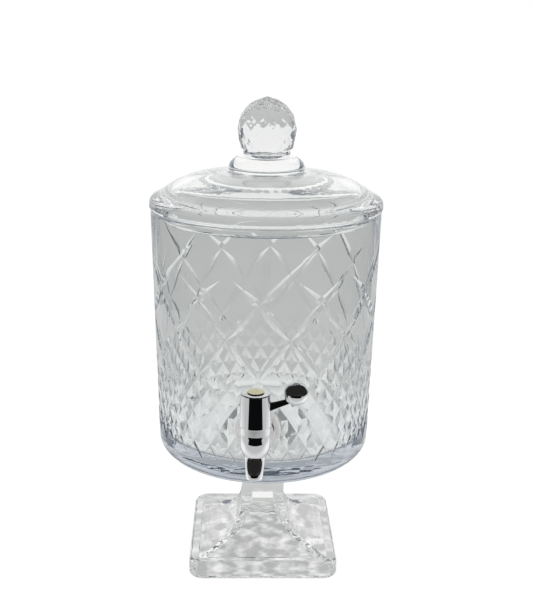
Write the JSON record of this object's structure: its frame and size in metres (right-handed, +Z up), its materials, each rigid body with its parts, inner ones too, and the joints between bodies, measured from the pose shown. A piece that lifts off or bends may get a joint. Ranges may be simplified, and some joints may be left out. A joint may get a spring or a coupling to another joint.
{
  "type": "drink dispenser",
  "caption": "Cut-glass drink dispenser: round jar with diamond cuts on a square pedestal foot, domed lid with a faceted finial, and a chrome lever tap low on its front.",
  "frame": {"origin": "centre of the foot's underside, where it rests on the table", "axes": "+Z up along the jar's axis; the tap points along -Y and its lever along +X at rest"},
  "size_m": [0.19, 0.2264, 0.395],
  "materials": {
    "clear_glass": "polished",
    "clear_cement": "clear cured cement",
    "chrome": "mirror plated",
    "chrome_satin": "satin plated",
    "silicone": "translucent white silicone",
    "nut_plastic": "moulded",
    "gold_insert": "pale gold plated disc",
    "steel": "zinc plated",
    "plug_plastic": "moulded",
    "black_rubber": "matt"
  },
  "bodies": {
    "vessel": {"jar": "clear_glass", "foot": "clear_glass", "foot_bond": "clear_cement", "tap_body": "chrome", "swivel_ring": "chrome_satin", "outer_washer": "silicone", "inner_washer": "silicone", "lock_nut": "nut_plastic"},
    "lid": {"lid": "clear_glass", "finial": "clear_glass", "finial_bond": "clear_cement"},
    "handle": {"tap_handle": "chrome", "lever_ball": "chrome", "cap_insert": "gold_insert", "handle_screw": "steel", "valve_plug": "plug_plastic", "plug_o_ring_lower": "black_rubber", "plug_o_ring_upper": "black_rubber"}
  },
  "joints": [
    {"name": "lid_lift", "type": "slide", "parent": "vessel", "child": "lid", "axis": [0, 0, 1], "range_m": [0, 0.12]},
    {"name": "tap_turn", "type": "hinge", "parent": "vessel", "child": "handle", "pos_m": [0, -0.118, 0.16], "axis": [0, 0, 1], "range_deg": [-90, 0]}
  ]
}
